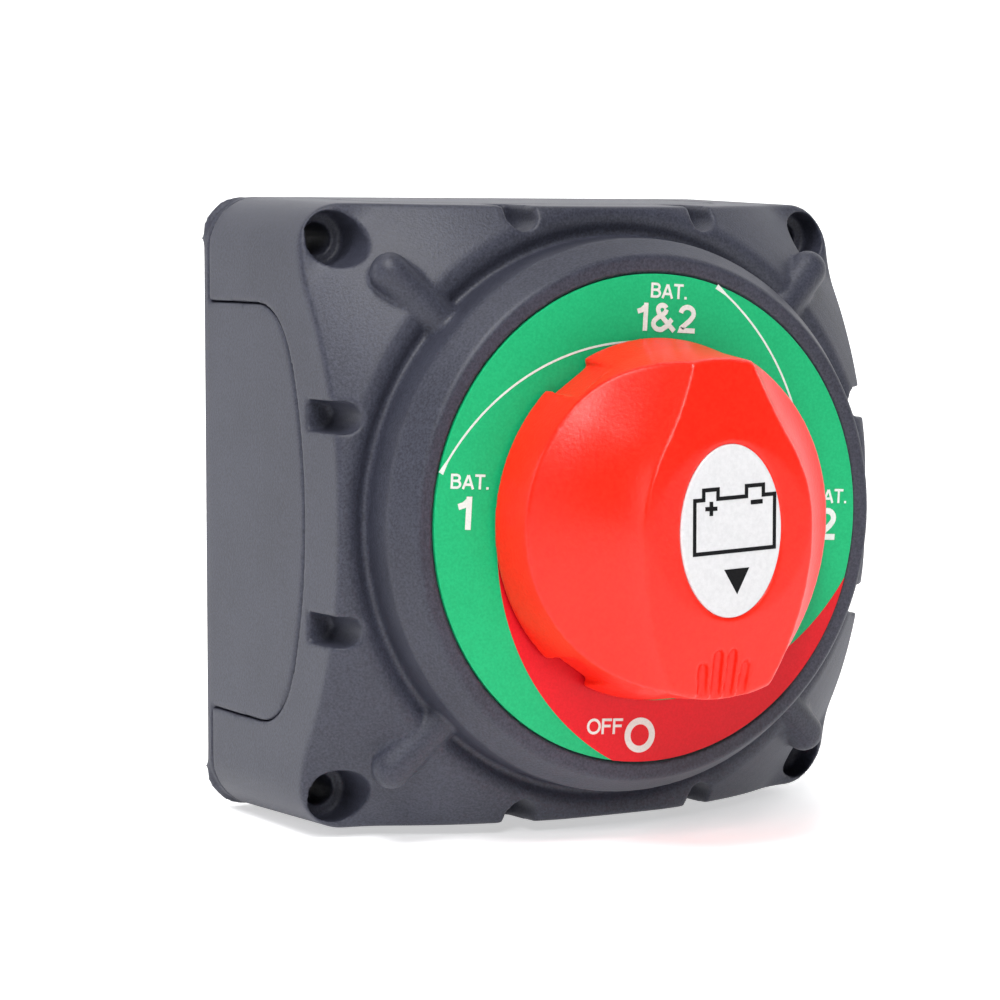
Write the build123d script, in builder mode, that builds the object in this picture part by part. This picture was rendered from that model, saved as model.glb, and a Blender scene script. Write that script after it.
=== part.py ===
from build123d import *

import os
from math import asin, atan2, cos, degrees, radians, sin, sqrt

os.makedirs("parts", exist_ok=True)

# Frame: the origin is the centre of the rear mounting face, +Z is up, and the dial faces -Y.
# "Depth" is the distance forward of the mounting face, so a point at depth d has y = -d.
# Angles in the plane of the dial are counted from +X towards +Z.

# ---------------------------------------------------------------- driving dimensions, mm
case_size = 104.0            # width and height at the back
case_corner = 9.0            # radius of the four upright corners
case_draft = 2.2             # degrees that each wall leans inwards towards the front
wall = 3.0

pad_height = 1.0             # feet around the fixing holes of the rear cover
pad_radius = 7.0
cover_front = 2.8            # depth of the front face of the rear cover plate
joint_gap = 0.15             # seam between the cover's tabs and the housing

hole_pitch = 90.0            # square pattern of fixing holes
hole_radius = 2.6
counterbore_radius = 4.5
counterbore_floor = 30.4
screw_tube_radius = 6.6

dome_radius = 83.0           # the front of the housing is part of a sphere
dome_centre = -16.4          # depth of that sphere's centre
land_radius = 63.2           # past this distance the corners flatten into a shallow cone
land_slope = 0.33
land_blend = 8.0
edge_round = 1.2

ring_crest_radius = 42.3     # raised ring around the dial
ring_crest = 60.9
ring_shoulder = (45.1, 55.9)  # the ring's cone ends here, above an upright wall
ring_foot = (45.3, 47.0)     # the wall meets the trough beside the ring
ring_foot_round = 0.8
ring_shoulder_round = 0.8
ring_crest_round = 0.4
trough_radius = 51.0         # the dome turns down into the trough at this distance
cavity_front = 45.0
running_gap = 0.05           # clearance between turning faces

label_radius = 39.4
label_bore = 7.6
label_seat = 60.1
label_face = 61.0
label_gap = 0.3

chamber_radius = 38.0        # sealed space that holds the switching parts
chamber_wall_radius = 41.5
chamber_back = 35.0
chamber_front = 57.0

collar_radius = 13.0         # bearing collar behind the dial
collar_back = 54.6
bush_radius = 9.0
seal_pocket_back = 58.1
seal_pocket_radius = 9.3

tab_half_width = 34.4        # cable-entry tab in each wall
tab_depth = 37.2
tab_bow_radius = 76.0
tab_corner = 13.0
tab_thickness = 2.4

notch_offset = 17.0          # half-round notches in the front edges
notch_radius = 2.5
notch_centre = 48.6
notch_floor = 38.4
notch_wall = 1.6

rib_radius = 3.3             # rounded ribs from the ring towards the fixing holes
rib_root = (43.0, 48.8)      # distance from the dial's axis and depth, at each end
rib_end = (56.0, 46.3)

base_back = 30.0             # moulded base that carries the terminals
base_flange_front = 34.0
base_front = 38.0
base_radius = 41.0
spigot_radius = 37.7
base_screw_circle = 45.5
base_screw_radius = 2.0
base_screw_tip = 45.0
base_ear_radius = 5.2
barrier_back = 10.0
barrier_thickness = 2.4
barrier_hub_radius = 6.0
barrier_angles = (90, 202.5, 337.5)
screw_head_radius = 3.6
screw_head_height = 2.6
cross_length = 4.2
cross_width = 0.9

stud_circle = 24.0           # the three terminals
stud_radius = 5.0
stud_hole_radius = 5.1
stud_end = 8.8
contact_front = 41.0
contact_head_radius = 8.0
common_bar_end = 10.5
common_bar_width = 12.0
hex_nut_width = 17.0
base_nut_height = 5.0
flat_washer_radius = 10.0
flat_washer_thickness = 2.0
spring_washer_radius = 8.8
spring_washer_thickness = 2.2
terminal_nut_height = 8.0

shaft_radius = 6.95
bush_bore = 7.0
pilot_radius = 4.0
pilot_bore = 4.05
pilot_end = 33.3
shaft_hex = 13.0
hex_back = 41.0
flange_back = 52.0
flange_front = 54.05
flange_radius = 10.0
square_drive = 9.5
square_back = 61.5
square_front = 74.0

carrier_disc_back = 44.0
carrier_radius = 32.0
carrier_hub_radius = 9.0
cam_back = 49.0
cam_flat = 12.95             # distance from the axis to each of the cam's four flats
cam_corner = 15.0
leaf_thickness = 0.7
leaf_bend_radius = 80.0
leaf_half_length = 19.0
post_radius = 3.0
hook_turn = 140.0
clip_radius = 7.2
clip_thickness = 0.8
clip_opening = 4.5
peg_circle = 22.0
peg_angle = 35.0
peg_radius = 2.0
spring_pocket_radius = 13.2
spring_pocket_depth = 4.0
sector_radius = 31.0
sector_half_angle = 60.0
contact_ring_radius = 15.0
moving_contact_thickness = 2.0
coil_wire = 0.5
coil_radius = 11.1
coil_pitch = 1.3
coil_turns = 3

knob_back = 61.6
knob_radius = 29.2
knob_skirt = 62.4
rim_radius = 27.9
rim_depth = 70.0
grip_top = 84.9
grip_flat_radius = 14.0
grip_half_width = 15.3
grip_end_radius = 26.6
grip_end = 82.4
lower_ridge_radius = 45.0    # the ridge of the grip, seen from the front
lower_ridge_turn = 53.0
upper_ridge_radius = 24.0
upper_ridge_turn = 32.8
flare_radius = 100.0
flare_turn = 14.0
scoop_middle = (4.7, -8.8)
scoop_reach = 22.0
skirt_notch_angles = (55, 125, 235, 305)
skirt_notch_floor = 27.6     # distance from the axis to the floor of each skirt notch
skirt_notch_width = 8.0
groove_places = ((-3.9, -7.4, 4), (-1.3, -5.4, 1.5), (1.3, -5.4, -1.5), (3.9, -7.4, -4))
groove_width = 1.7
groove_depth = 1.2
groove_length = 16.0
hollow_inner = 9.0
hollow_outer = 25.5
hollow_floor = 66.0
pocket_half_width = 7.0
pocket_bottom = 10.0
pocket_top = 19.5
pocket_floor = 79.0
socket_clearance = 0.05
knob_screw_radius = 2.0
knob_screw_tip = 65.0
knob_screw_hole = 2.2
washer_radius = 4.2
washer_seat = 77.2
washer_thickness = 0.8
counterbore_of_knob = 4.4
badge_half_width = 9.2
badge_half_height = 13.5
badge_seat = 84.2
badge_face = 85.0
badge_clearance = 0.1

# ---------------------------------------------------------------- planes and small helpers
# In the plane of every turned profile, local x is the radius and local y is the depth.
turning = Plane(origin=(0, 0, 0), x_dir=(1, 0, 0), z_dir=(0, 0, -1))
corner_holes = GridLocations(hole_pitch, hole_pitch, 2, 2)
terminal_angles = (135, 45, 270)
wall_angles = (0, 90, 180, 270)
rib_angles = (45, 135, 225, 315)


def at_depth(depth):
    """Plane parallel to the dial, x to the right and y up, extruding forwards."""
    return Plane.XZ.offset(depth)


def in_wall(angle):
    """Plane through the axis, facing one wall from outside, with local y along the depth."""
    outwards = (cos(radians(angle)), 0, sin(radians(angle)))
    return Plane(origin=(0, 0, 0), x_dir=(-outwards[2], 0, outwards[0]), z_dir=outwards)


def polar(radius, angle):
    """Point in a plane parallel to the dial."""
    return (radius * cos(radians(angle)), radius * sin(radians(angle)))


def dome_depth(radius, inset=0.0):
    """Depth of the domed front, or of a surface inset from it, at a distance from the axis."""
    return dome_centre + sqrt((dome_radius - inset) ** 2 - radius**2)


def save(part, name):
    """Label a finished piece and write its file."""
    part.label = name
    export_step(part, f"parts/{name}.step")


terminals = [polar(stud_circle, angle) for angle in terminal_angles]
base_screws_at = [polar(base_screw_circle, angle) for angle in (45, 135, 225, 315)]
notch_places = [Location((0, 0), angle) * Location((notch_centre, side))
                for angle in wall_angles for side in (-notch_offset, notch_offset)]

# ---------------------------------------------------------------- shapes used by several pieces
with BuildPart() as walls:
    with BuildSketch(at_depth(cover_front)):
        RectangleRounded(case_size, case_size, case_corner)
    extrude(amount=60, taper=case_draft)

with BuildPart() as walls_inside:
    with BuildSketch(at_depth(cover_front)):
        inside_size = case_size - 2 * wall
        RectangleRounded(inside_size, inside_size, case_corner - wall)
    extrude(amount=60, taper=case_draft)

with BuildPart() as tab_inside:
    with BuildSketch(at_depth(cover_front)):
        inside_size = case_size - 2 * tab_thickness
        RectangleRounded(inside_size, inside_size, case_corner - tab_thickness)
    extrude(amount=60, taper=case_draft)

with BuildSketch() as tab_outline:
    bow_drop = tab_bow_radius - sqrt(tab_bow_radius**2 - tab_half_width**2)
    shoulder = tab_depth - bow_drop
    with BuildLine():
        Line((-tab_half_width, 0), (tab_half_width, 0))
        Line((tab_half_width, 0), (tab_half_width, shoulder))
        ThreePointArc((tab_half_width, shoulder), (0, tab_depth), (-tab_half_width, shoulder))
        Line((-tab_half_width, shoulder), (-tab_half_width, 0))
    make_face()
    fillet(tab_outline.vertices().sort_by(Axis.Y)[-2:], tab_corner)

with BuildSketch() as tab_opening:
    add(tab_outline.sketch)
    offset(amount=joint_gap)

# ---------------------------------------------------------------- rear cover
with BuildPart() as rear_cover:
    for angle in wall_angles:
        with BuildSketch(in_wall(angle).offset(case_size / 2 - 8)):
            add(tab_outline.sketch)
        extrude(amount=9)
    add(walls.part, mode=Mode.INTERSECT)
    add(tab_inside.part, mode=Mode.SUBTRACT)
    with BuildSketch(at_depth(pad_height)):
        RectangleRounded(case_size, case_size, case_corner)
    extrude(amount=cover_front - pad_height)
    with BuildSketch(at_depth(0)):
        with corner_holes:
            Circle(pad_radius)
    extrude(amount=pad_height)
    with BuildSketch(at_depth(0)):
        with corner_holes:
            Circle(hole_radius)
    extrude(amount=cover_front, mode=Mode.SUBTRACT)
save(rear_cover.part, "rear_cover")

# ---------------------------------------------------------------- front housing
with BuildPart() as rib:
    rib_start = Vector(rib_root[0], -rib_root[1], 0)
    rib_tip = Vector(rib_end[0], -rib_end[1], 0)
    with BuildSketch(Plane(origin=rib_start, z_dir=rib_tip - rib_start)):
        Circle(rib_radius)
    extrude(amount=(rib_tip - rib_start).length)
    with Locations(rib_tip):
        Sphere(rib_radius)

with BuildPart() as cavity:
    far = case_size * 0.72
    with BuildSketch(turning):
        with BuildLine():
            inside_sphere = dome_radius - wall
            inside_edge = sqrt(inside_sphere**2 - (cavity_front - dome_centre) ** 2)
            mid = (far + inside_edge) / 2
            Polyline((inside_edge, cavity_front), (0, cavity_front), (0, cover_front),
                     (far, cover_front), (far, dome_depth(far, wall)))
            ThreePointArc((far, dome_depth(far, wall)), (mid, dome_depth(mid, wall)),
                          (inside_edge, cavity_front))
        make_face()
    revolve(axis=Axis.Y)
    add(walls_inside.part, mode=Mode.INTERSECT)
    with BuildSketch(at_depth(chamber_back)):
        Circle(chamber_wall_radius)
        with Locations(*base_screws_at):
            Circle(base_ear_radius)
    extrude(amount=40, mode=Mode.SUBTRACT)
    with BuildSketch(at_depth(0)):
        with corner_holes:
            Circle(screw_tube_radius)
    extrude(amount=60, mode=Mode.SUBTRACT)
    with BuildSketch(at_depth(notch_floor - notch_wall)):
        for place in notch_places:
            with Locations(place):
                Circle(notch_radius + notch_wall)
                with Locations((notch_radius, 0)):
                    Rectangle(2 * notch_radius, 2 * (notch_radius + notch_wall))
    extrude(amount=30, mode=Mode.SUBTRACT)

leaf_lean = degrees(asin(leaf_half_length / leaf_bend_radius))
leaf_middle = cam_flat + 0.05 + leaf_thickness / 2
leaf_tip_x = leaf_middle + leaf_bend_radius * (1 - cos(radians(leaf_lean)))
hook_radius = post_radius + 0.05 + leaf_thickness / 2
post_x = leaf_tip_x + hook_radius * cos(radians(leaf_lean))
post_z = leaf_half_length - hook_radius * sin(radians(leaf_lean))

with BuildPart() as chamber:
    with BuildSketch(at_depth(chamber_back - 1)):
        Circle(chamber_radius)
    extrude(amount=chamber_front - chamber_back + 1)
    with BuildSketch(at_depth(collar_back)):
        Circle(collar_radius)
    extrude(amount=chamber_front - collar_back, mode=Mode.SUBTRACT)
    with BuildSketch(at_depth(cam_back)):
        with GridLocations(2 * post_x, 2 * post_z, 2, 2):
            Circle(post_radius)
    extrude(amount=chamber_front - cam_back, mode=Mode.SUBTRACT)

with BuildPart() as front_housing:
    with BuildSketch(turning) as front_profile:
        with BuildLine():
            recess_radius = label_radius + label_gap
            far = case_size * 0.72
            mid = (land_radius + trough_radius) / 2
            trough = (trough_radius, dome_depth(trough_radius))
            land = (land_radius, dome_depth(land_radius))
            Polyline(ring_foot, ring_shoulder, (ring_crest_radius, ring_crest),
                     (recess_radius, ring_crest), (recess_radius, label_seat), (0, label_seat),
                     (0, cover_front), (far, cover_front),
                     (far, land[1] - land_slope * (far - land_radius)), land)
            ThreePointArc(land, (mid, dome_depth(mid)), trough)
            tilt = asin(trough_radius / dome_radius)
            TangentArc(trough, ring_foot, tangent=(-cos(tilt), sin(tilt)))
        make_face()
        for corner, size in ((ring_foot, ring_foot_round), (ring_shoulder, ring_shoulder_round),
                             ((ring_crest_radius, ring_crest), ring_crest_round),
                             (land, land_blend)):
            fillet(front_profile.vertices().sort_by_distance((*corner, 0))[0], size)
    revolve(axis=Axis.Y)
    add(walls.part, mode=Mode.INTERSECT)
    rim_edges = front_housing.edges().filter_by(
        lambda edge: abs(edge.position_at(0).Y - edge.position_at(0.5).Y) > 0.05
        and edge.geom_type != GeomType.LINE
        and edge.center().Y < 2 - counterbore_floor
        and Vector(edge.center().X, 0, edge.center().Z).length > ring_shoulder[0] + 3
    )
    fillet(rim_edges, edge_round)
    for angle in rib_angles:
        add(rib.part, rotation=(0, -angle, 0))
    add(cavity.part, mode=Mode.SUBTRACT)
    add(chamber.part, mode=Mode.SUBTRACT)
    with BuildSketch(at_depth(collar_back)):
        Circle(bush_radius)
    extrude(amount=seal_pocket_back - collar_back, mode=Mode.SUBTRACT)
    with BuildSketch(at_depth(seal_pocket_back)):
        Circle(seal_pocket_radius)
    extrude(amount=label_seat - seal_pocket_back, mode=Mode.SUBTRACT)
    with BuildSketch(at_depth(chamber_back)):
        with Locations(*base_screws_at):
            Circle(base_screw_radius)
    extrude(amount=base_screw_tip - chamber_back, mode=Mode.SUBTRACT)
    with BuildSketch(at_depth(notch_floor)):
        for place in notch_places:
            with Locations(place):
                Circle(notch_radius)
                with Locations((notch_radius, 0)):
                    Rectangle(2 * notch_radius, 2 * notch_radius)
    extrude(amount=30, mode=Mode.SUBTRACT)
    with BuildSketch(at_depth(0)):
        with corner_holes:
            Circle(hole_radius)
    extrude(amount=60, mode=Mode.SUBTRACT)
    with BuildSketch(at_depth(counterbore_floor)):
        with corner_holes:
            Circle(counterbore_radius)
    extrude(amount=30, mode=Mode.SUBTRACT)
    for angle in wall_angles:
        with BuildSketch(in_wall(angle).offset(case_size / 2 - 8)):
            add(tab_opening.sketch)
        extrude(amount=9, mode=Mode.SUBTRACT)
save(front_housing.part, "front_housing")

# ---------------------------------------------------------------- dial label and bearing
with BuildPart() as dial_label:
    with BuildSketch(at_depth(label_seat)):
        Circle(label_radius)
        Circle(label_bore, mode=Mode.SUBTRACT)
    extrude(amount=label_face - label_seat)
save(dial_label.part, "dial_label")

with BuildPart() as shaft_bush:
    with BuildSketch(at_depth(collar_back)):
        Circle(bush_radius)
        Circle(bush_bore, mode=Mode.SUBTRACT)
    extrude(amount=seal_pocket_back - collar_back)
save(shaft_bush.part, "shaft_bush")

with BuildPart() as shaft_seal:
    seal_section = (label_seat - seal_pocket_back) / 2 - 0.05
    with BuildSketch(turning):
        with Locations((bush_bore + seal_section, (seal_pocket_back + label_seat) / 2)):
            Circle(seal_section)
    revolve(axis=Axis.Y)
save(shaft_seal.part, "shaft_seal")

with BuildPart() as thrust_washer:
    with BuildSketch(at_depth(flange_front + running_gap)):
        Circle(collar_radius - 1)
        Circle(bush_bore + 0.2, mode=Mode.SUBTRACT)
    extrude(amount=collar_back - flange_front - running_gap)
save(thrust_washer.part, "thrust_washer")

# ---------------------------------------------------------------- terminal base
with BuildPart() as switch_base:
    with BuildSketch(at_depth(base_back)):
        Circle(base_radius)
        with Locations(*base_screws_at):
            Circle(base_ear_radius)
    extrude(amount=base_flange_front - base_back)
    with BuildSketch(at_depth(base_flange_front)):
        Circle(spigot_radius)
    extrude(amount=base_front - base_flange_front)
    with BuildSketch(at_depth(barrier_back)):
        Circle(barrier_hub_radius)
        for angle in barrier_angles:
            with Locations(Location((0, 0), angle) * Location((base_radius / 2, 0))):
                Rectangle(base_radius - 1, barrier_thickness)
    extrude(amount=base_back - barrier_back)
    with BuildSketch(at_depth(pilot_end - 0.3)):
        Circle(pilot_bore)
    extrude(amount=base_front, mode=Mode.SUBTRACT)
    with BuildSketch(at_depth(base_back)):
        with Locations(*terminals):
            Circle(stud_hole_radius)
        with Locations(*base_screws_at):
            Circle(base_screw_radius + 0.2)
    extrude(amount=base_front, mode=Mode.SUBTRACT)
save(switch_base.part, "switch_base")

with BuildPart() as base_gasket:
    with BuildSketch(at_depth(base_flange_front)):
        Circle(base_radius - 0.4)
        Circle(chamber_radius + 0.2, mode=Mode.SUBTRACT)
    extrude(amount=chamber_back - base_flange_front)
save(base_gasket.part, "base_gasket")

with BuildPart() as base_screws:
    with BuildSketch(at_depth(base_back - screw_head_height)):
        with Locations(*base_screws_at):
            Circle(screw_head_radius)
    extrude(amount=screw_head_height)
    fillet(base_screws.edges().group_by(Axis.Y)[-1], screw_head_height / 2)
    with BuildSketch(at_depth(base_back)):
        with Locations(*base_screws_at):
            Circle(base_screw_radius)
    extrude(amount=base_screw_tip - base_back)
    with BuildSketch(at_depth(base_back - screw_head_height)):
        with Locations(*base_screws_at):
            Rectangle(cross_length, cross_width)
            Rectangle(cross_width, cross_length)
    extrude(amount=screw_head_height / 2, mode=Mode.SUBTRACT)
save(base_screws.part, "base_screws")

# ---------------------------------------------------------------- terminals
for name, angle, centre in zip(("stud_1", "stud_2", "stud_common"), terminal_angles, terminals):
    with BuildPart() as stud:
        with BuildSketch(at_depth(stud_end)):
            with Locations(centre):
                Circle(stud_radius)
        extrude(amount=base_front - stud_end)
        chamfer(stud.edges().group_by(Axis.Y)[-1], 0.8)
        with BuildSketch(at_depth(base_front)):
            with Locations(centre):
                Circle(contact_head_radius)
            if name == "stud_common":
                with Locations((0, -(stud_circle + common_bar_end) / 2)):
                    Rectangle(common_bar_width, stud_circle - common_bar_end)
        extrude(amount=contact_front - base_front)
    save(stud.part, name)

with BuildPart() as base_nuts:
    with BuildSketch(at_depth(base_back - base_nut_height)):
        with Locations(*terminals):
            RegularPolygon(hex_nut_width / 2, 6, major_radius=False)
            Circle(stud_radius, mode=Mode.SUBTRACT)
    extrude(amount=base_nut_height)
save(base_nuts.part, "base_nuts")

flat_washer_back = base_back - base_nut_height - flat_washer_thickness
with BuildPart() as flat_washers:
    with BuildSketch(at_depth(flat_washer_back)):
        with Locations(*terminals):
            Circle(flat_washer_radius)
            Circle(stud_radius + 0.3, mode=Mode.SUBTRACT)
    extrude(amount=flat_washer_thickness)
save(flat_washers.part, "flat_washers")

spring_washer_back = flat_washer_back - spring_washer_thickness
with BuildPart() as spring_washers:
    with BuildSketch(at_depth(spring_washer_back)):
        with Locations(*terminals):
            Circle(spring_washer_radius)
            Circle(stud_radius + 0.2, mode=Mode.SUBTRACT)
            with Locations((spring_washer_radius - 2, 0)):
                Rectangle(6, 1.2, rotation=20, mode=Mode.SUBTRACT)
    extrude(amount=spring_washer_thickness)
save(spring_washers.part, "spring_washers")

with BuildPart() as terminal_nuts:
    with BuildSketch(at_depth(spring_washer_back - terminal_nut_height)):
        with Locations(*terminals):
            RegularPolygon(hex_nut_width / 2, 6, major_radius=False)
            Circle(stud_radius, mode=Mode.SUBTRACT)
    extrude(amount=terminal_nut_height)
save(terminal_nuts.part, "terminal_nuts")

# ---------------------------------------------------------------- detent springs
for name, side in (("detent_spring_left", -1), ("detent_spring_right", 1)):
    with BuildPart() as detent_spring:
        with BuildSketch(at_depth(cam_back)):
            with BuildLine():
                top = (side * leaf_tip_x, leaf_half_length)
                bottom = (side * leaf_tip_x, -leaf_half_length)
                leaf = ThreePointArc(bottom, (side * leaf_middle, 0), top)
                JernArc(leaf @ 1, leaf % 1, hook_radius, -side * hook_turn)
                JernArc(leaf @ 0, leaf % 0 * -1, hook_radius, side * hook_turn)
            trace(line_width=leaf_thickness)
        extrude(amount=flange_back - cam_back)
    save(detent_spring.part, name)

# ---------------------------------------------------------------- rotor
with BuildPart() as rotor_shaft:
    with BuildSketch(turning):
        with BuildLine():
            Polyline((0, pilot_end), (pilot_radius, pilot_end), (pilot_radius, flange_back),
                     (flange_radius, flange_back), (flange_radius, flange_front),
                     (shaft_radius, flange_front), (shaft_radius, square_back),
                     (0, square_back), (0, pilot_end))
        make_face()
    revolve(axis=Axis.Y)
    chamfer(rotor_shaft.edges().sort_by(Axis.Y)[-1], 0.5)
    with BuildSketch(at_depth(hex_back)):
        RegularPolygon(shaft_hex / 2, 6, major_radius=False)
    extrude(amount=flange_back - hex_back)
    with BuildSketch(at_depth(square_back)):
        Rectangle(square_drive, square_drive)
    extrude(amount=square_front - square_back)
    with BuildSketch(at_depth(square_back)):
        Circle(knob_screw_radius)
    extrude(amount=square_front, mode=Mode.SUBTRACT)
save(rotor_shaft.part, "rotor_shaft")

with BuildPart() as carrier_clip:
    with BuildSketch(at_depth(hex_back - clip_thickness)):
        Circle(clip_radius)
        Circle(pilot_radius, mode=Mode.SUBTRACT)
        with Locations((clip_radius, 0)):
            Rectangle(2 * clip_radius, clip_opening, mode=Mode.SUBTRACT)
    extrude(amount=clip_thickness)
save(carrier_clip.part, "carrier_clip")

pegs_at = [polar(peg_circle, 270 - peg_angle), polar(peg_circle, 270 + peg_angle)]
with BuildPart() as contact_carrier:
    with BuildSketch(at_depth(hex_back)):
        Circle(carrier_hub_radius)
    extrude(amount=cam_back - hex_back)
    with BuildSketch(at_depth(carrier_disc_back)):
        Circle(carrier_radius)
    extrude(amount=cam_back - carrier_disc_back)
    with BuildSketch(at_depth(carrier_disc_back)):
        Circle(spring_pocket_radius)
        Circle(carrier_hub_radius, mode=Mode.SUBTRACT)
    extrude(amount=spring_pocket_depth, mode=Mode.SUBTRACT)
    with BuildSketch(at_depth(contact_front + 0.6)):
        with Locations(*pegs_at):
            Circle(peg_radius)
    extrude(amount=carrier_disc_back - contact_front - 0.6)
    with BuildSketch(at_depth(hex_back)):
        RegularPolygon(shaft_hex / 2, 6, major_radius=False)
    extrude(amount=cam_back - hex_back, mode=Mode.SUBTRACT)
save(contact_carrier.part, "contact_carrier")

with BuildPart() as moving_contact:
    with BuildSketch(at_depth(contact_front + running_gap)):
        with BuildLine():
            sector_left = polar(sector_radius, 270 - sector_half_angle)
            sector_right = polar(sector_radius, 270 + sector_half_angle)
            Line((0, 0), sector_left)
            ThreePointArc(sector_left, (0, -sector_radius), sector_right)
            Line(sector_right, (0, 0))
        make_face()
        Circle(contact_ring_radius)
        Circle(carrier_hub_radius + 0.2, mode=Mode.SUBTRACT)
        with Locations(*pegs_at):
            Circle(peg_radius + 0.2, mode=Mode.SUBTRACT)
    extrude(amount=moving_contact_thickness)
save(moving_contact.part, "moving_contact")

with BuildPart() as contact_spring:
    with BuildLine():
        coil_start = contact_front + running_gap + moving_contact_thickness + coil_wire
        coil = Helix(coil_pitch, coil_turns * coil_pitch, coil_radius,
                     center=(0, -coil_start, 0), direction=(0, -1, 0))
    with BuildSketch(Plane(origin=coil @ 0, z_dir=coil % 0)):
        Circle(coil_wire)
    sweep(path=coil, is_frenet=True)
save(contact_spring.part, "contact_spring")

with BuildPart() as detent_cam:
    with BuildSketch(at_depth(cam_back)):
        Circle(cam_corner)
        Rectangle(2 * cam_flat, 2 * cam_flat, mode=Mode.INTERSECT)
        RegularPolygon(shaft_hex / 2, 6, major_radius=False, mode=Mode.SUBTRACT)
    extrude(amount=flange_back - cam_back)
save(detent_cam.part, "detent_cam")

# ---------------------------------------------------------------- knob
# Each flank of the grip is a hollow scoop that follows the ridge. Seen from the front the left
# ridge is three tangent arcs: each row holds an arc's start, its heading in degrees from +Z
# towards +X, its signed radius (positive when its centre is on the grip's side) and its turn.
bend_sideways = upper_ridge_radius * (1 - cos(radians(upper_ridge_turn))) - grip_half_width
upper_bend = (bend_sideways, upper_ridge_radius * sin(radians(upper_ridge_turn)))
ridge_arcs = (
    ((-grip_half_width, 0), 0, lower_ridge_radius, -lower_ridge_turn),
    ((-grip_half_width, 0), 0, upper_ridge_radius, upper_ridge_turn),
    (upper_bend, upper_ridge_turn, -flare_radius, flare_turn),
)
with BuildPart() as scoop:
    for start, heading, radius, turn in ridge_arcs:
        ahead = Vector(sin(radians(heading)), 0, cos(radians(heading)))
        outwards = Vector(-cos(radians(heading)), 0, sin(radians(heading)))
        corner = Vector(start[0], -grip_top, start[1])
        with BuildSketch(Plane(origin=corner, x_dir=outwards, z_dir=ahead)):
            drop = rim_depth - grip_top
            scoop_width = rim_radius - grip_half_width
            with BuildLine():
                ThreePointArc((0, 0), scoop_middle, (scoop_width, drop))
                Polyline((scoop_width, drop), (scoop_reach, drop - 4), (scoop_reach, 5), (0, 5),
                         (0, 0))
            make_face()
        spin = 1 if radius * turn > 0 else -1
        revolve(axis=Axis(corner - outwards * radius, (0, spin, 0)), revolution_arc=abs(turn))

with BuildPart() as knob:
    with BuildSketch(turning) as knob_profile:
        with BuildLine():
            Polyline((0, knob_back), (knob_radius, knob_back), (knob_radius, knob_skirt),
                     (rim_radius, rim_depth), (grip_end_radius, grip_end),
                     (grip_flat_radius, grip_top), (0, grip_top), (0, knob_back))
        make_face()
        grip_corner = (grip_end_radius, grip_end, 0)
        fillet(knob_profile.vertices().sort_by_distance(grip_corner)[0], edge_round)
    revolve(axis=Axis.Y)
    add(scoop.part, mode=Mode.SUBTRACT)
    add(scoop.part.mirror(Plane.YZ), mode=Mode.SUBTRACT)
    with BuildSketch(at_depth(knob_back)):
        for angle in skirt_notch_angles:
            with Locations(Location((0, 0), angle) * Location((skirt_notch_floor + 3, 0))):
                Rectangle(6, skirt_notch_width)
    extrude(amount=rim_depth - knob_back, mode=Mode.SUBTRACT)
    end_slope = atan2(grip_top - grip_end, grip_end_radius - grip_flat_radius)
    groove_floor = Plane(origin=(0, groove_depth - grip_top, -grip_flat_radius), x_dir=(1, 0, 0),
                         z_dir=(0, -cos(end_slope), -sin(end_slope)))
    with BuildSketch(groove_floor):
        for x, y, lean in groove_places:
            with Locations(Location((x, y), lean)):
                Circle(groove_width / 2)
                with Locations((0, -groove_length / 2)):
                    Rectangle(groove_width, groove_length)
    extrude(amount=5, mode=Mode.SUBTRACT)
    with BuildSketch(at_depth(knob_back)):
        Circle(hollow_outer)
        Circle(hollow_inner, mode=Mode.SUBTRACT)
    extrude(amount=hollow_floor - knob_back, mode=Mode.SUBTRACT)
    with BuildSketch(at_depth(hollow_floor)):
        with GridLocations(0, pocket_top + pocket_bottom, 1, 2):
            Rectangle(2 * pocket_half_width, pocket_top - pocket_bottom)
    extrude(amount=pocket_floor - hollow_floor, mode=Mode.SUBTRACT)
    with BuildSketch(at_depth(knob_back)):
        Rectangle(square_drive + 2 * socket_clearance, square_drive + 2 * socket_clearance)
    extrude(amount=square_front - knob_back, mode=Mode.SUBTRACT)
    with BuildSketch(at_depth(square_front)):
        Circle(knob_screw_hole)
    extrude(amount=washer_seat - square_front, mode=Mode.SUBTRACT)
    with BuildSketch(at_depth(washer_seat)):
        Circle(counterbore_of_knob)
    extrude(amount=grip_top - washer_seat, mode=Mode.SUBTRACT)
    with BuildSketch(at_depth(badge_seat)):
        Ellipse(badge_half_width + badge_clearance, badge_half_height + badge_clearance)
    extrude(amount=grip_top - badge_seat, mode=Mode.SUBTRACT)
save(knob.part, "knob")

with BuildPart() as knob_washer:
    with BuildSketch(at_depth(washer_seat)):
        Circle(washer_radius)
        Circle(knob_screw_hole, mode=Mode.SUBTRACT)
    extrude(amount=washer_thickness)
save(knob_washer.part, "knob_washer")

head_seat = washer_seat + washer_thickness
with BuildPart() as knob_screw:
    with BuildSketch(at_depth(knob_screw_tip)):
        Circle(knob_screw_radius)
    extrude(amount=head_seat - knob_screw_tip)
    with BuildSketch(at_depth(head_seat)):
        Circle(screw_head_radius)
    extrude(amount=screw_head_height)
    fillet(knob_screw.edges().group_by(Axis.Y)[0], screw_head_height / 2)
    with BuildSketch(at_depth(head_seat + screw_head_height / 2)):
        Rectangle(cross_length, cross_width)
        Rectangle(cross_width, cross_length)
    extrude(amount=screw_head_height, mode=Mode.SUBTRACT)
save(knob_screw.part, "knob_screw")

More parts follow.
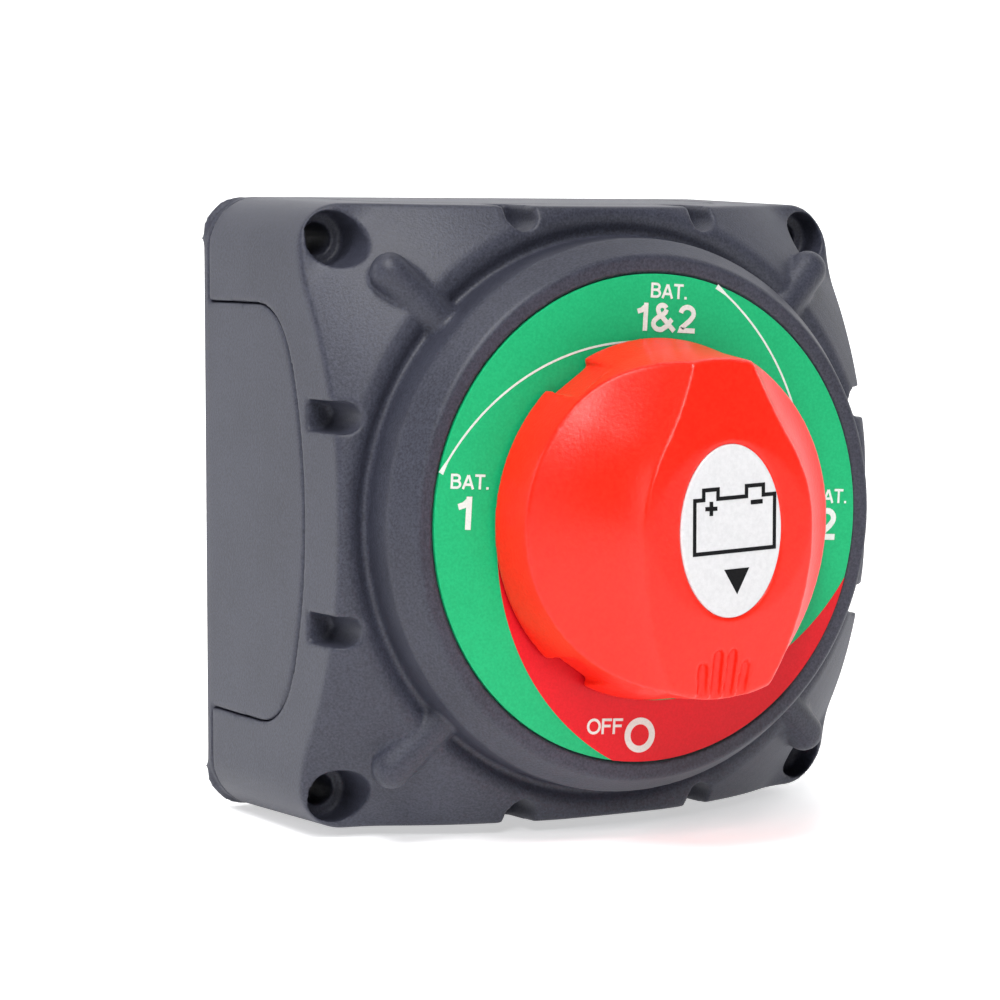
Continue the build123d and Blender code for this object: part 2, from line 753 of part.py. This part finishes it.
with BuildPart() as knob_badge:
    with BuildSketch(at_depth(badge_seat)):
        Ellipse(badge_half_width, badge_half_height)
    extrude(amount=badge_face - badge_seat)
    fillet(knob_badge.edges().group_by(Axis.Y)[0], 0.3)
save(knob_badge.part, "knob_badge")
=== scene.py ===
"""Looks for a panel-mounted rotary battery selector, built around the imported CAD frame.

Lengths are in mm, and MM turns them into Blender's metres, except in the studio, which is in
metres. The dial faces -Y, so a drawing's (x, z) is as seen from the front, and its depth is
counted towards the viewer.
"""

import math

import bmesh
import bpy
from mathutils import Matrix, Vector


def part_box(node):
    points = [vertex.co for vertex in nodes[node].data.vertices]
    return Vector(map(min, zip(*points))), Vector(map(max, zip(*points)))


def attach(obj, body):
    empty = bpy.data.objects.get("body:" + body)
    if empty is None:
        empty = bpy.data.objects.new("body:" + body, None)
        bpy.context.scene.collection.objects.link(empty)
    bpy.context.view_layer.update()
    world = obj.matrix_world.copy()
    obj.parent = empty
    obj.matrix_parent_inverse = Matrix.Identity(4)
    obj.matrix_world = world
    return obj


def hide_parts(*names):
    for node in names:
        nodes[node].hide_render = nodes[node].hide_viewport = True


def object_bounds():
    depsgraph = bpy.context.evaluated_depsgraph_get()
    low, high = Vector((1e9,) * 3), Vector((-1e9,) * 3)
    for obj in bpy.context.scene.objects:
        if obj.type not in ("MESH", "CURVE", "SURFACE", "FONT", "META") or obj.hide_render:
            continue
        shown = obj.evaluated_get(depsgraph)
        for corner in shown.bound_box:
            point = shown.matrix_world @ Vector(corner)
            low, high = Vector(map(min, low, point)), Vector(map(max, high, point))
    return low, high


MM = 0.001
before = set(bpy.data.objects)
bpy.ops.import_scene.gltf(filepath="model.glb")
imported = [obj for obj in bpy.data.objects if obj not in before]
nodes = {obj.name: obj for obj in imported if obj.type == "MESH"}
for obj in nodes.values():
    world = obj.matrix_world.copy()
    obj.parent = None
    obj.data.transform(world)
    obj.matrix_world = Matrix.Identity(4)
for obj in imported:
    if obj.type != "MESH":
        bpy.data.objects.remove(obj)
cad_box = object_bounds()
label_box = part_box("dial_label")
badge_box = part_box("knob_badge")


# ---------------------------------------------------------------- materials
CASE_GRAIN = 2600.0           # scales of the noise textures, in cells per metre
CLOUD_GRAIN = 45.0
STREAK_GRAIN = 900.0
STAIN_GRAIN = 120.0
FINE_SHARE = 0.75             # the fine grain's share of a plastic's colour; the cloud has the rest
SHALLOW = 0.02 * MM           # depths of a texture's relief
CASE_RELIEF = 0.08 * MM
KNOB_RELIEF = 0.07 * MM
INK_SPECULAR = 0.25


def new_material(name):
    """An empty node material with its principled shader, and a shorthand for adding nodes."""
    material = bpy.data.materials.new(name)
    material.use_nodes = True
    tree = material.node_tree
    shader = tree.nodes["Principled BSDF"]

    def add(kind, **values):
        node = tree.nodes.new(kind)
        for key, value in values.items():
            if key in node.inputs:
                node.inputs[key].default_value = value
            else:
                setattr(node, key.lower(), value)
        return node

    return material, tree, shader, add


def link(tree, source, socket_out, target, socket_in):
    tree.links.new(source.outputs[socket_out], target.inputs[socket_in])


def colour_between(tree, shader, add, source, socket, dark, light, span):
    """Colours the shader from dark to light as the source runs through span."""
    colour = add("ShaderNodeValToRGB")
    for element, position, shade in zip(colour.color_ramp.elements, span, (dark, light)):
        element.position = position
        element.color = (*shade, 1)
    link(tree, source, socket, colour, "Fac")
    link(tree, colour, "Color", shader, "Base Color")


def gloss_and_relief(tree, shader, add, texture, roughness, bump, height):
    """Lets one texture drive the shader's roughness, within a range, and its bump."""
    gloss = add("ShaderNodeMapRange")
    gloss.inputs["To Min"].default_value, gloss.inputs["To Max"].default_value = roughness
    link(tree, texture, "Fac", gloss, "Value")
    link(tree, gloss, "Result", shader, "Roughness")
    relief = add("ShaderNodeBump")
    relief.inputs["Strength"].default_value = bump
    relief.inputs["Distance"].default_value = height
    link(tree, texture, "Fac", relief, "Height")
    link(tree, relief, "Normal", shader, "Normal")


def moulded(name, dark, light, roughness, bump, grain=CASE_GRAIN, height=SHALLOW,
            **shader_values):
    """Moulded plastic: an eroded fine grain, a faint cloudiness and uneven gloss."""
    material, tree, shader, add = new_material(name)
    coords = add("ShaderNodeTexCoord")
    fine = add("ShaderNodeTexNoise", Scale=grain, Detail=3.0, Roughness=0.6)
    cloud = add("ShaderNodeTexNoise", Scale=CLOUD_GRAIN, Detail=3.0, Roughness=0.55)
    for texture in (fine, cloud):
        link(tree, coords, "Object", texture, "Vector")
    blend = add("ShaderNodeMix", data_type="FLOAT")
    blend.inputs["Factor"].default_value = FINE_SHARE
    link(tree, cloud, "Fac", blend, "A")
    link(tree, fine, "Fac", blend, "B")
    colour_between(tree, shader, add, blend, "Result", dark, light, (0.38, 0.62))
    gloss_and_relief(tree, shader, add, fine, roughness, bump, height)
    for key, value in shader_values.items():
        shader.inputs[key.replace("_", " ")].default_value = value
    return material


def metal(name, dark, light, roughness, brush=(1, 1, 1)):
    """Plated or drawn metal with streaks along its turning and small stains."""
    material, tree, shader, add = new_material(name)
    coords = add("ShaderNodeTexCoord")
    stretch = add("ShaderNodeMapping")
    stretch.inputs["Scale"].default_value = brush
    streaks = add("ShaderNodeTexNoise", Scale=STREAK_GRAIN, Detail=4.0, Roughness=0.6)
    stains = add("ShaderNodeTexNoise", Scale=STAIN_GRAIN, Detail=3.0)
    link(tree, coords, "Object", stretch, "Vector")
    link(tree, stretch, "Vector", streaks, "Vector")
    link(tree, coords, "Object", stains, "Vector")
    colour_between(tree, shader, add, stains, "Fac", dark, light, (0.35, 0.65))
    gloss_and_relief(tree, shader, add, streaks, roughness, 0.1, SHALLOW)
    shader.inputs["Metallic"].default_value = 1.0
    return material


case_plastic = moulded("case_plastic", (0.022, 0.023, 0.035), (0.048, 0.051, 0.074),
                       (0.40, 0.58), bump=0.7, height=CASE_RELIEF, Specular_IOR_Level=0.4)
knob_plastic = moulded("knob_plastic", (0.87, 0.012, 0.003), (0.95, 0.020, 0.006), (0.26, 0.38),
                       grain=1700.0, bump=0.6, height=KNOB_RELIEF, Specular_IOR_Level=0.35,
                       Subsurface_Weight=0.12, Subsurface_Radius=(0.002, 0.0006, 0.0003))
badge_plastic = moulded("badge_plastic", (0.62, 0.62, 0.63), (0.68, 0.68, 0.69), (0.2, 0.3),
                        grain=1500.0, bump=0.03, Specular_IOR_Level=0.3)
ink_green = moulded("ink_green", (0.006, 0.39, 0.145), (0.010, 0.46, 0.175), (0.34, 0.46),
                    bump=0.1, Specular_IOR_Level=INK_SPECULAR)
ink_red = moulded("ink_red", (0.60, 0.004, 0.010), (0.68, 0.006, 0.015), (0.34, 0.46),
                  bump=0.1, Specular_IOR_Level=INK_SPECULAR)
ink_white = moulded("ink_white", (0.62, 0.72, 0.67), (0.72, 0.80, 0.75), (0.38, 0.5),
                    bump=0.05, Specular_IOR_Level=INK_SPECULAR)
ink_black = moulded("ink_black", (0.004, 0.004, 0.005), (0.007, 0.007, 0.008), (0.3, 0.42),
                    bump=0.05, Specular_IOR_Level=0.12)
base_plastic = moulded("base_plastic", (0.020, 0.021, 0.024), (0.036, 0.037, 0.041), (0.38, 0.6),
                       grain=1800.0, bump=0.3)
nylon = moulded("nylon", (0.62, 0.59, 0.50), (0.72, 0.69, 0.60), (0.35, 0.5), grain=900.0, bump=0.15)
acetal = moulded("acetal", (0.70, 0.69, 0.65), (0.80, 0.79, 0.76), (0.28, 0.4), grain=900.0, bump=0.1)
rubber = moulded("seal_rubber", (0.012, 0.012, 0.012), (0.022, 0.022, 0.022), (0.6, 0.75),
                 grain=1500.0, bump=0.3)
zinc = metal("zinc_plate", (0.52, 0.54, 0.56), (0.68, 0.69, 0.68), (0.22, 0.38))
copper = metal("contact_copper", (0.60, 0.30, 0.17), (0.78, 0.45, 0.27), (0.25, 0.42), (1, 12, 1))
spring = metal("spring_steel", (0.30, 0.31, 0.33), (0.42, 0.43, 0.46), (0.2, 0.34), (1, 1, 6))

node_materials = {
    "rear_cover": case_plastic, "front_housing": case_plastic, "dial_label": ink_green,
    "knob": knob_plastic, "knob_badge": badge_plastic, "switch_base": base_plastic,
    "rotor_shaft": nylon, "contact_carrier": nylon, "shaft_bush": acetal,
    "thrust_washer": acetal, "detent_cam": acetal, "shaft_seal": rubber, "base_gasket": rubber,
    "stud_1": copper, "stud_2": copper, "stud_common": copper, "moving_contact": copper,
    "knob_screw": zinc, "knob_washer": zinc, "base_screws": zinc, "base_nuts": zinc,
    "flat_washers": zinc, "terminal_nuts": zinc, "spring_washers": spring,
    "detent_spring_left": spring, "detent_spring_right": spring, "carrier_clip": spring,
    "contact_spring": spring,
}
for node_name, material in node_materials.items():
    for slot in nodes[node_name].material_slots:
        slot.material = material


# ---------------------------------------------------------------- moulded copies of CAD nodes
EASE = 0.5                    # how far each smoothing pass moves a point towards its neighbours


def piece_from(mesh, name, body, material):
    """Puts a mesh in the scene as a piece that rides on a body."""
    piece = bpy.data.objects.new(name, mesh)
    bpy.context.scene.collection.objects.link(piece)
    piece.data.materials.clear()
    piece.data.materials.append(material)
    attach(piece, body)
    return piece


def softened(node_name, name, body, voxel, passes, material):
    """A moulded copy of a CAD node: remeshed evenly, then eased so that each edge gets a radius."""
    piece = piece_from(nodes[node_name].data.copy(), name, body, material)
    remesh = piece.modifiers.new("remesh", "REMESH")
    remesh.mode = "VOXEL"
    remesh.voxel_size = voxel * MM
    remesh.use_smooth_shade = True
    ease = piece.modifiers.new("ease", "SMOOTH")
    ease.factor = EASE
    ease.iterations = passes
    graph = bpy.context.evaluated_depsgraph_get()
    made = bpy.data.meshes.new_from_object(piece.evaluated_get(graph))
    piece.modifiers.clear()
    piece.data = made
    made.materials.clear()
    made.materials.append(material)
    for polygon in made.polygons:
        polygon.use_smooth = True
    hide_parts(node_name)


# Broken edges of the carried-over CAD nodes, in mm.
EDGE_BREAKS = {"dial_label": 0.12, "switch_base": 0.3, "terminal_nuts": 0.35, "base_nuts": 0.35,
               "flat_washers": 0.2, "stud_1": 0.3, "stud_2": 0.3, "stud_common": 0.3}
WELD_DISTANCE = 0.001
SHARP_ANGLE = math.radians(50)


def break_edges(thing, width):
    """Welds a CAD node's split corners and rounds its sharp edges, without touching its mesh."""
    weld = thing.modifiers.new("weld", "WELD")
    weld.merge_threshold = WELD_DISTANCE * MM
    bevel = thing.modifiers.new("edges", "BEVEL")
    bevel.width = width * MM
    bevel.segments = 2
    bevel.limit_method = "ANGLE"
    bevel.angle_limit = SHARP_ANGLE


softened("front_housing", "case_moulding", "housing", 0.42, 3, case_plastic)
softened("rear_cover", "cover_moulding", "rear_cover", 0.5, 2, case_plastic)
softened("knob", "knob_moulding", "rotor", 0.33, 10, knob_plastic)


# ---------------------------------------------------------------- print on the dial
LABEL_RADIUS = 39.4
LABEL_DEPTH = -label_box[0].y / MM
SWIRL_OFFSET = 12.8           # how far the borders' centres lie from the axis
UNDER_KNOB = 25.0             # where the red field ends, out of sight under the knob
INK = 0.04                    # thickness of one coat of ink
LAYER = 0.004                 # crossing strokes lie this far apart, so that no faces coincide
PRINT_TURN = math.radians(-3.5)
# Each field's border is an arc: the direction of its centre, in degrees, and its radius.
BORDERS = {"position_1": (256.0, 41.0), "both": (166.0, 42.1), "position_2": (76.0, 42.0),
           "off": (346.0, 40.7)}
RED_START = 166.0             # where the red field's strip of faces begins, in degrees
RED_STEP = 0.5
RED_STEPS = 356
LEAST_WIDTH = 0.05            # the strip ends where it gets narrower than this
LINE_SPAN = 84.0              # a white line's arc in degrees, of which the label's edge cuts some
LINE_STEPS = 160
LINE_MARGIN = 0.1
LINE_WIDTH = 0.34
WEDGE_WIDTH = 0.55            # what the outer end adds to that, and over how many steps
WEDGE_STEPS = 6
LEAST_MITRE = 0.4             # keeps a stroke's sharp corners from reaching out too far


def prism(builder, outline, front, thickness):
    """Adds a closed flat prism to the bmesh: outline is a loop of (x, z), front its depth, in mm."""
    rows = []
    for depth in (front, front - thickness):
        rows.append([builder.verts.new((x * MM, -depth * MM, z * MM)) for x, z in outline])
    face, back = rows
    builder.faces.new(face)
    builder.faces.new(back[::-1])
    for k in range(len(outline)):
        following = (k + 1) % len(outline)
        builder.faces.new((face[k], back[k], back[following], face[following]))


def strip(builder, sides, front, thickness, closed=False):
    """A flat band between pairs of (x, z) points, as a closed solid of quads."""
    rows = []
    for left, right in sides:
        rows.append([builder.verts.new((p[0] * MM, -depth * MM, p[1] * MM))
                     for p, depth in ((left, front), (right, front),
                                      (right, front - thickness), (left, front - thickness))])
    following = rows[1:] + rows[:1] if closed else rows[1:]
    for a, b in zip(rows, following):
        for n in range(4):
            m = (n + 1) % 4
            builder.faces.new((a[n], a[m], b[m], b[n]))
    if not closed:
        builder.faces.new(rows[0])
        builder.faces.new(rows[-1][::-1])


def ribbon(builder, points, widths, front, thickness, closed=False):
    """A stroke of given width along a line of (x, z), with mitred corners."""
    count = len(points)
    if not isinstance(widths, (list, tuple)):
        widths = [widths] * count
    line = [Vector(point) for point in points]
    sides = []
    for k, here in enumerate(line):
        before = line[k - 1] if closed or k else None
        after = line[(k + 1) % count] if closed or k < count - 1 else None
        into = (here - before if before is not None else after - here).normalized()
        out = (after - here).normalized() if after is not None else into
        across = Vector((-(into.y + out.y), into.x + out.x)).normalized()
        stretch = max(across.dot(Vector((-out.y, out.x))), LEAST_MITRE)
        reach = across * (widths[k] / 2 / stretch)
        sides.append((here + reach, here - reach))
    strip(builder, sides, front, thickness, closed)


def bow(centre, radii, start, end, steps):
    """Points along an elliptic arc, angles in degrees."""
    return [(centre[0] + radii[0] * math.cos(turn), centre[1] + radii[1] * math.sin(turn))
            for turn in (math.radians(start + (end - start) * k / steps)
                         for k in range(steps + 1))]


def printed(name, draw, body, material):
    """Makes one printed piece out of what `draw` puts in a bmesh."""
    builder = bmesh.new()
    draw(builder)
    bmesh.ops.recalc_face_normals(builder, faces=builder.faces)
    mesh = bpy.data.meshes.new(name)
    builder.to_mesh(mesh)
    builder.free()
    return piece_from(mesh, name, body, material)


def ray_to_border(turn, field):
    """How far from the axis a ray at `turn` meets a border."""
    centre_turn, radius = BORDERS[field]
    lag = turn - math.radians(centre_turn)
    along, across = SWIRL_OFFSET * math.cos(lag), SWIRL_OFFSET * math.sin(lag)
    return along + math.sqrt(radius ** 2 - across ** 2)


def draw_red_field(builder):
    """The field around OFF, from under the knob to its border or to the label's edge."""
    sides = []
    for turn in (math.radians(RED_START + RED_STEP * k) for k in range(RED_STEPS)):
        if turn < math.radians(BORDERS["position_1"][0]):
            near = UNDER_KNOB
        else:
            near = ray_to_border(turn, "position_2")
        far = min(ray_to_border(turn, "off"), LABEL_RADIUS)
        if near > far - LEAST_WIDTH:
            break
        sides.append(((near * math.cos(turn), near * math.sin(turn)),
                      (far * math.cos(turn), far * math.sin(turn))))
    strip(builder, sides, LABEL_DEPTH + INK, INK)


def draw_swirl_lines(builder):
    """The two white lines along the green borders, each with a wedge at its outer end."""
    for field in ("position_1", "both"):
        centre_turn, radius = BORDERS[field]
        centre = (SWIRL_OFFSET * math.cos(math.radians(centre_turn)),
                  SWIRL_OFFSET * math.sin(math.radians(centre_turn)))
        nearest = centre_turn - 180.0
        border = bow(centre, (radius, radius), nearest + LINE_SPAN, nearest, LINE_STEPS)
        points = [p for p in border if math.hypot(*p) < LABEL_RADIUS - LINE_MARGIN]
        widths = [LINE_WIDTH + WEDGE_WIDTH * max(0.0, 1 - k / WEDGE_STEPS)
                  for k in range(len(points))]
        ribbon(builder, points, widths, LABEL_DEPTH + INK, INK)


# Strokes of each character, in units of the capital's height, and the width it takes.
CHARACTERS = {
    "B": (0.74, [[(0.10, 0.0), (0.10, 1.0)],
                 [(0.10, 0.92), (0.38, 0.92)] + bow((0.38, 0.725), (0.20, 0.195), 80, -80, 8)
                 + [(0.10, 0.53)],
                 [(0.10, 0.53), (0.40, 0.53)] + bow((0.40, 0.305), (0.23, 0.225), 80, -80, 8)
                 + [(0.10, 0.08)]]),
    "A": (0.80, [[(0.08, 0.0), (0.39, 0.93)], [(0.72, 0.0), (0.41, 0.93)],
                 [(0.20, 0.30), (0.60, 0.30)]]),
    "T": (0.70, [[(0.35, 0.0), (0.35, 0.9)], [(0.03, 0.92), (0.67, 0.92)]]),
    "F": (0.66, [[(0.11, 0.0), (0.11, 1.0)], [(0.11, 0.92), (0.63, 0.92)],
                 [(0.11, 0.52), (0.57, 0.52)]]),
    "O": (0.84, [bow((0.42, 0.5), (0.34, 0.43), 0, 360, 32)]),
    ".": (0.28, [[(0.14, 0.0), (0.14, 0.17)]]),
    "1": (0.56, [[(0.36, 0.0), (0.36, 1.0)], [(0.33, 0.86), (0.22, 0.74), (0.07, 0.68)]]),
    "2": (0.70, [bow((0.34, 0.69), (0.23, 0.23), 175, -30, 12)
                 + [(0.44, 0.44), (0.15, 0.16), (0.13, 0.085), (0.64, 0.085)]]),
    "&": (0.94, [[(0.84, 0.04), (0.27, 0.66)] + bow((0.38, 0.80), (0.15, 0.14), 200, 20, 8),
                 [(0.53, 0.80), (0.50, 0.70), (0.40, 0.60), (0.24, 0.50)]
                 + bow((0.32, 0.28), (0.23, 0.21), 140, 290, 8) + [(0.56, 0.20), (0.74, 0.46)]]),
}


def draw_text(builder, text, centre, size, weight, depth):
    """Draws characters that fill a box of the given size, turned with the print as a whole."""
    full_width = sum(CHARACTERS[character][0] for character in text)
    scale_x, scale_z = size[0] / full_width, size[1]
    pen = -full_width / 2
    turn_cos, turn_sin = math.cos(PRINT_TURN), math.sin(PRINT_TURN)
    for character in text:
        advance, strokes = CHARACTERS[character]
        for layer, stroke in enumerate(strokes):
            points = []
            for x, z in stroke:
                u, v = (pen + x) * scale_x, (z - 0.5) * scale_z
                points.append((centre[0] + u * turn_cos - v * turn_sin,
                               centre[1] + u * turn_sin + v * turn_cos))
            closed = points[0] == points[-1] or character == "O"
            ribbon(builder, points[:-1] if closed else points, weight * size[1],
                   depth + INK - LAYER * layer, INK, closed)
        pen += advance


# Text, centre, size and weight, which is the stroke's width over the capital's height.
DIAL_TEXTS = [
    ("BAT.", (-33.1, 7.25), (7.0, 2.35), 0.17), ("1", (-33.9, 2.35), (3.6, 5.2), 0.19),
    ("BAT.", (3.15, 36.6), (7.0, 2.4), 0.17), ("1&2", (2.6, 32.3), (11.6, 4.5), 0.18),
    ("BAT.", (34.6, 2.35), (7.0, 2.35), 0.17), ("2", (34.0, -2.3), (4.1, 5.2), 0.19),
    ("OFF", (-8.6, -33.1), (6.8, 2.5), 0.17),
]
OFF_RING = (-2.1, -35.0)
OFF_RING_RADIUS = 2.3
OFF_RING_WIDTH = 1.1


def draw_texts(builder):
    """All lettering, and the ring beside OFF."""
    for text, centre, size, weight in DIAL_TEXTS:
        draw_text(builder, text, centre, size, weight, LABEL_DEPTH + INK)
    ring = bow(OFF_RING, (OFF_RING_RADIUS, OFF_RING_RADIUS), 0, 360, 48)[:-1]
    ribbon(builder, ring, OFF_RING_WIDTH, LABEL_DEPTH + 2 * INK, INK, closed=True)


printed("dial_red_field", draw_red_field, "housing", ink_red)
printed("dial_swirl_lines", draw_swirl_lines, "housing", ink_white)
printed("dial_lettering", draw_texts, "housing", ink_white)
for node_name, width in EDGE_BREAKS.items():
    break_edges(nodes[node_name], width)

# ---------------------------------------------------------------- badge and its pictogram
BADGE_DEPTH = -badge_box[0].y / MM
BADGE_FACE = BADGE_DEPTH - INK
BADGE_BACK = -badge_box[1].y / MM
BADGE_HALF = (9.2, 13.5)
BADGE_STEPS = 128
# The rounded edge: how far in from the rim, and how far below the face.
BADGE_EDGE = [(0.0, 0.30), (0.06, 0.16), (0.16, 0.06), (0.30, 0.015), (0.60, 0.0)]
PICTOGRAM_LINE = 0.62
PICTOGRAM_TURN = math.radians(2.3)
BATTERY_SIDES = (-6.8, 7.8)
BATTERY_LEVELS = (-3.1, 5.2)
POSTS = ((2.6, 5.7, 6.8), (-5.2, -2.6, 6.7))     # left side, right side and top of each
PLUS = (-3.8, 3.75)
PLUS_ARM = 1.1
PLUS_LINE = 0.66
MINUS = [(3.4, 4.2), (5.6, 4.2)]
MINUS_LINE = 0.7
ARROW = [(-1.4, -5.9), (3.2, -5.9), (1.0, -9.9)]


def draw_badge(builder):
    """An elliptic disc whose edge is rounded, from its centre out and down to its back."""
    profile = [(inset, BADGE_FACE - drop) for inset, drop in BADGE_EDGE[::-1]]
    profile.append((0.0, BADGE_BACK))
    rings = []
    for inset, depth in profile:
        rings.append([builder.verts.new(((BADGE_HALF[0] - inset) * math.cos(turn) * MM,
                                         -depth * MM,
                                         (BADGE_HALF[1] - inset) * math.sin(turn) * MM))
                      for turn in (2 * math.pi * k / BADGE_STEPS for k in range(BADGE_STEPS))])
    for inner, outer in zip(rings, rings[1:]):
        for k in range(BADGE_STEPS):
            following = (k + 1) % BADGE_STEPS
            builder.faces.new((inner[k], outer[k], outer[following], inner[following]))
    builder.faces.new(rings[0])
    builder.faces.new(rings[-1][::-1])


def draw_battery(builder):
    """Outline of a battery with its two posts, plus and minus, and the arrow below it."""
    slope = math.tan(PICTOGRAM_TURN)

    def placed(points):
        return [(x, z + slope * x) for x, z in points]

    left, right = BATTERY_SIDES
    bottom, top = BATTERY_LEVELS
    outline = [(left, bottom), (right, bottom), (right, top)]
    for post_left, post_right, post_top in POSTS:
        outline += [(post_right, top), (post_right, post_top),
                    (post_left, post_top), (post_left, top)]
    outline.append((left, top))
    ribbon(builder, placed(outline), PICTOGRAM_LINE, BADGE_DEPTH, INK, closed=True)
    x, z = placed([PLUS])[0]
    ribbon(builder, [(x - PLUS_ARM, z), (x + PLUS_ARM, z)], PLUS_LINE, BADGE_DEPTH, INK)
    ribbon(builder, [(x, z - PLUS_ARM), (x, z + PLUS_ARM)], PLUS_LINE, BADGE_DEPTH - LAYER, INK)
    ribbon(builder, placed(MINUS), MINUS_LINE, BADGE_DEPTH, INK)
    prism(builder, placed(ARROW), BADGE_DEPTH, INK)


badge = printed("badge_plate", draw_badge, "rotor", badge_plastic)
for polygon in badge.data.polygons:
    polygon.use_smooth = len(polygon.vertices) == 4
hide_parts("knob_badge")
printed("badge_pictogram", draw_battery, "rotor", ink_black)


# ---------------------------------------------------------------- camera, floor and light
def aim(thing, at):
    """Turns a camera or a light towards a point."""
    thing.rotation_euler = (thing.location - Vector(at)).to_track_quat("Z", "Y").to_euler()


SENSOR = 36.0
LENS = 114.84
DISTANCE = 568.87             # from the point that the camera looks at
look_at = Vector((4.833, -1.0, -1.602)) * MM
look_from = Vector((-0.4759, -0.8755, 0.0842)).normalized()

camera_data = bpy.data.cameras.new("camera")
camera = bpy.data.objects.new("camera", camera_data)
bpy.context.scene.collection.objects.link(camera)
bpy.context.scene.camera = camera
camera_data.sensor_width = SENSOR
camera_data.lens = LENS
camera.location = look_at + look_from * DISTANCE * MM
aim(camera, look_at)
camera_data.clip_start = 0.01

floor_white = moulded("studio_white", (0.86, 0.86, 0.87), (0.89, 0.89, 0.90), (0.5, 0.6),
                      grain=60.0, bump=0.02, Emission_Color=(1, 1, 1, 1),
                      Emission_Strength=0.52)
BACKDROP_LEVEL = cad_box[0].z - 0.1 * MM
FLOOR_LEVEL = BACKDROP_LEVEL - 0.2 * MM
FLOOR_REACH = 6.0


def staged(name, corners, faces, level, smooth):
    """Puts a white surface in the studio, which isn't part of the object."""
    mesh = bpy.data.meshes.new(name)
    mesh.from_pydata(corners, [], faces)
    for polygon in mesh.polygons:
        polygon.use_smooth = smooth
    mesh.materials.append(floor_white)
    thing = bpy.data.objects.new(name, mesh)
    thing.location.z = level
    bpy.context.scene.collection.objects.link(thing)


def backdrop(name, radius, bend, height, half_angle, steps=48, floor_steps=8, bend_steps=10):
    """A floor that curves up into a wall behind the object, swept round the camera's line."""
    facing = math.atan2(-look_from.y, -look_from.x)
    outline = [(radius * k / floor_steps, 0.0) for k in range(floor_steps + 1)]
    outline += [(radius + bend * math.sin(a), bend * (1 - math.cos(a)))
                for a in (math.pi / 2 * k / bend_steps for k in range(1, bend_steps + 1))]
    outline.append((radius + bend, height))
    corners, faces = [], []
    for k in range(steps + 1):
        turn = facing + half_angle * (2 * k / steps - 1)
        corners += [(r * math.cos(turn), r * math.sin(turn), z) for r, z in outline]
    row = len(outline)
    for k in range(steps):
        for n in range(row - 1):
            a = k * row + n
            faces.append((a, a + row, a + row + 1, a + 1))
    staged(name, corners, faces, BACKDROP_LEVEL, smooth=True)


floor_corners = [(x * FLOOR_REACH, y * FLOOR_REACH, 0.0)
                 for x, y in ((-1, -1), (1, -1), (1, 1), (-1, 1))]
staged("studio_floor", floor_corners, [(0, 1, 2, 3)], FLOOR_LEVEL, smooth=False)
backdrop("studio_backdrop", 1.6, 0.9, 3.0, math.radians(80))


def softbox(name, place, size, watts, at=(0, -0.03, 0)):
    """A rectangular area light that faces the object, or another point."""
    lamp_data = bpy.data.lights.new(name, "AREA")
    lamp_data.shape = "RECTANGLE"
    lamp_data.size, lamp_data.size_y = size
    lamp_data.energy = watts
    lamp = bpy.data.objects.new(name, lamp_data)
    lamp.location = place
    bpy.context.scene.collection.objects.link(lamp)
    aim(lamp, at)


softbox("key", (-0.50, -0.95, 0.75), (0.20, 0.42), 6.5)
softbox("top", (-0.45, -0.40, 1.05), (0.40, 0.40), 11.0)
softbox("rim", (-1.05, 0.45, 0.35), (0.35, 0.60), 2.0)
softbox("backdrop_wash", (0.35, 0.75, 1.5), (1.2, 0.5), 16.0, at=(1.1, 2.0, 0.2))

world = bpy.data.worlds.new("studio")
bpy.context.scene.world = world
world.use_nodes = True
background = world.node_tree.nodes["Background"]
background.inputs["Color"].default_value = (1, 1, 1, 1)
background.inputs["Strength"].default_value = 0.12
bpy.context.scene.view_settings.view_transform = "Standard"
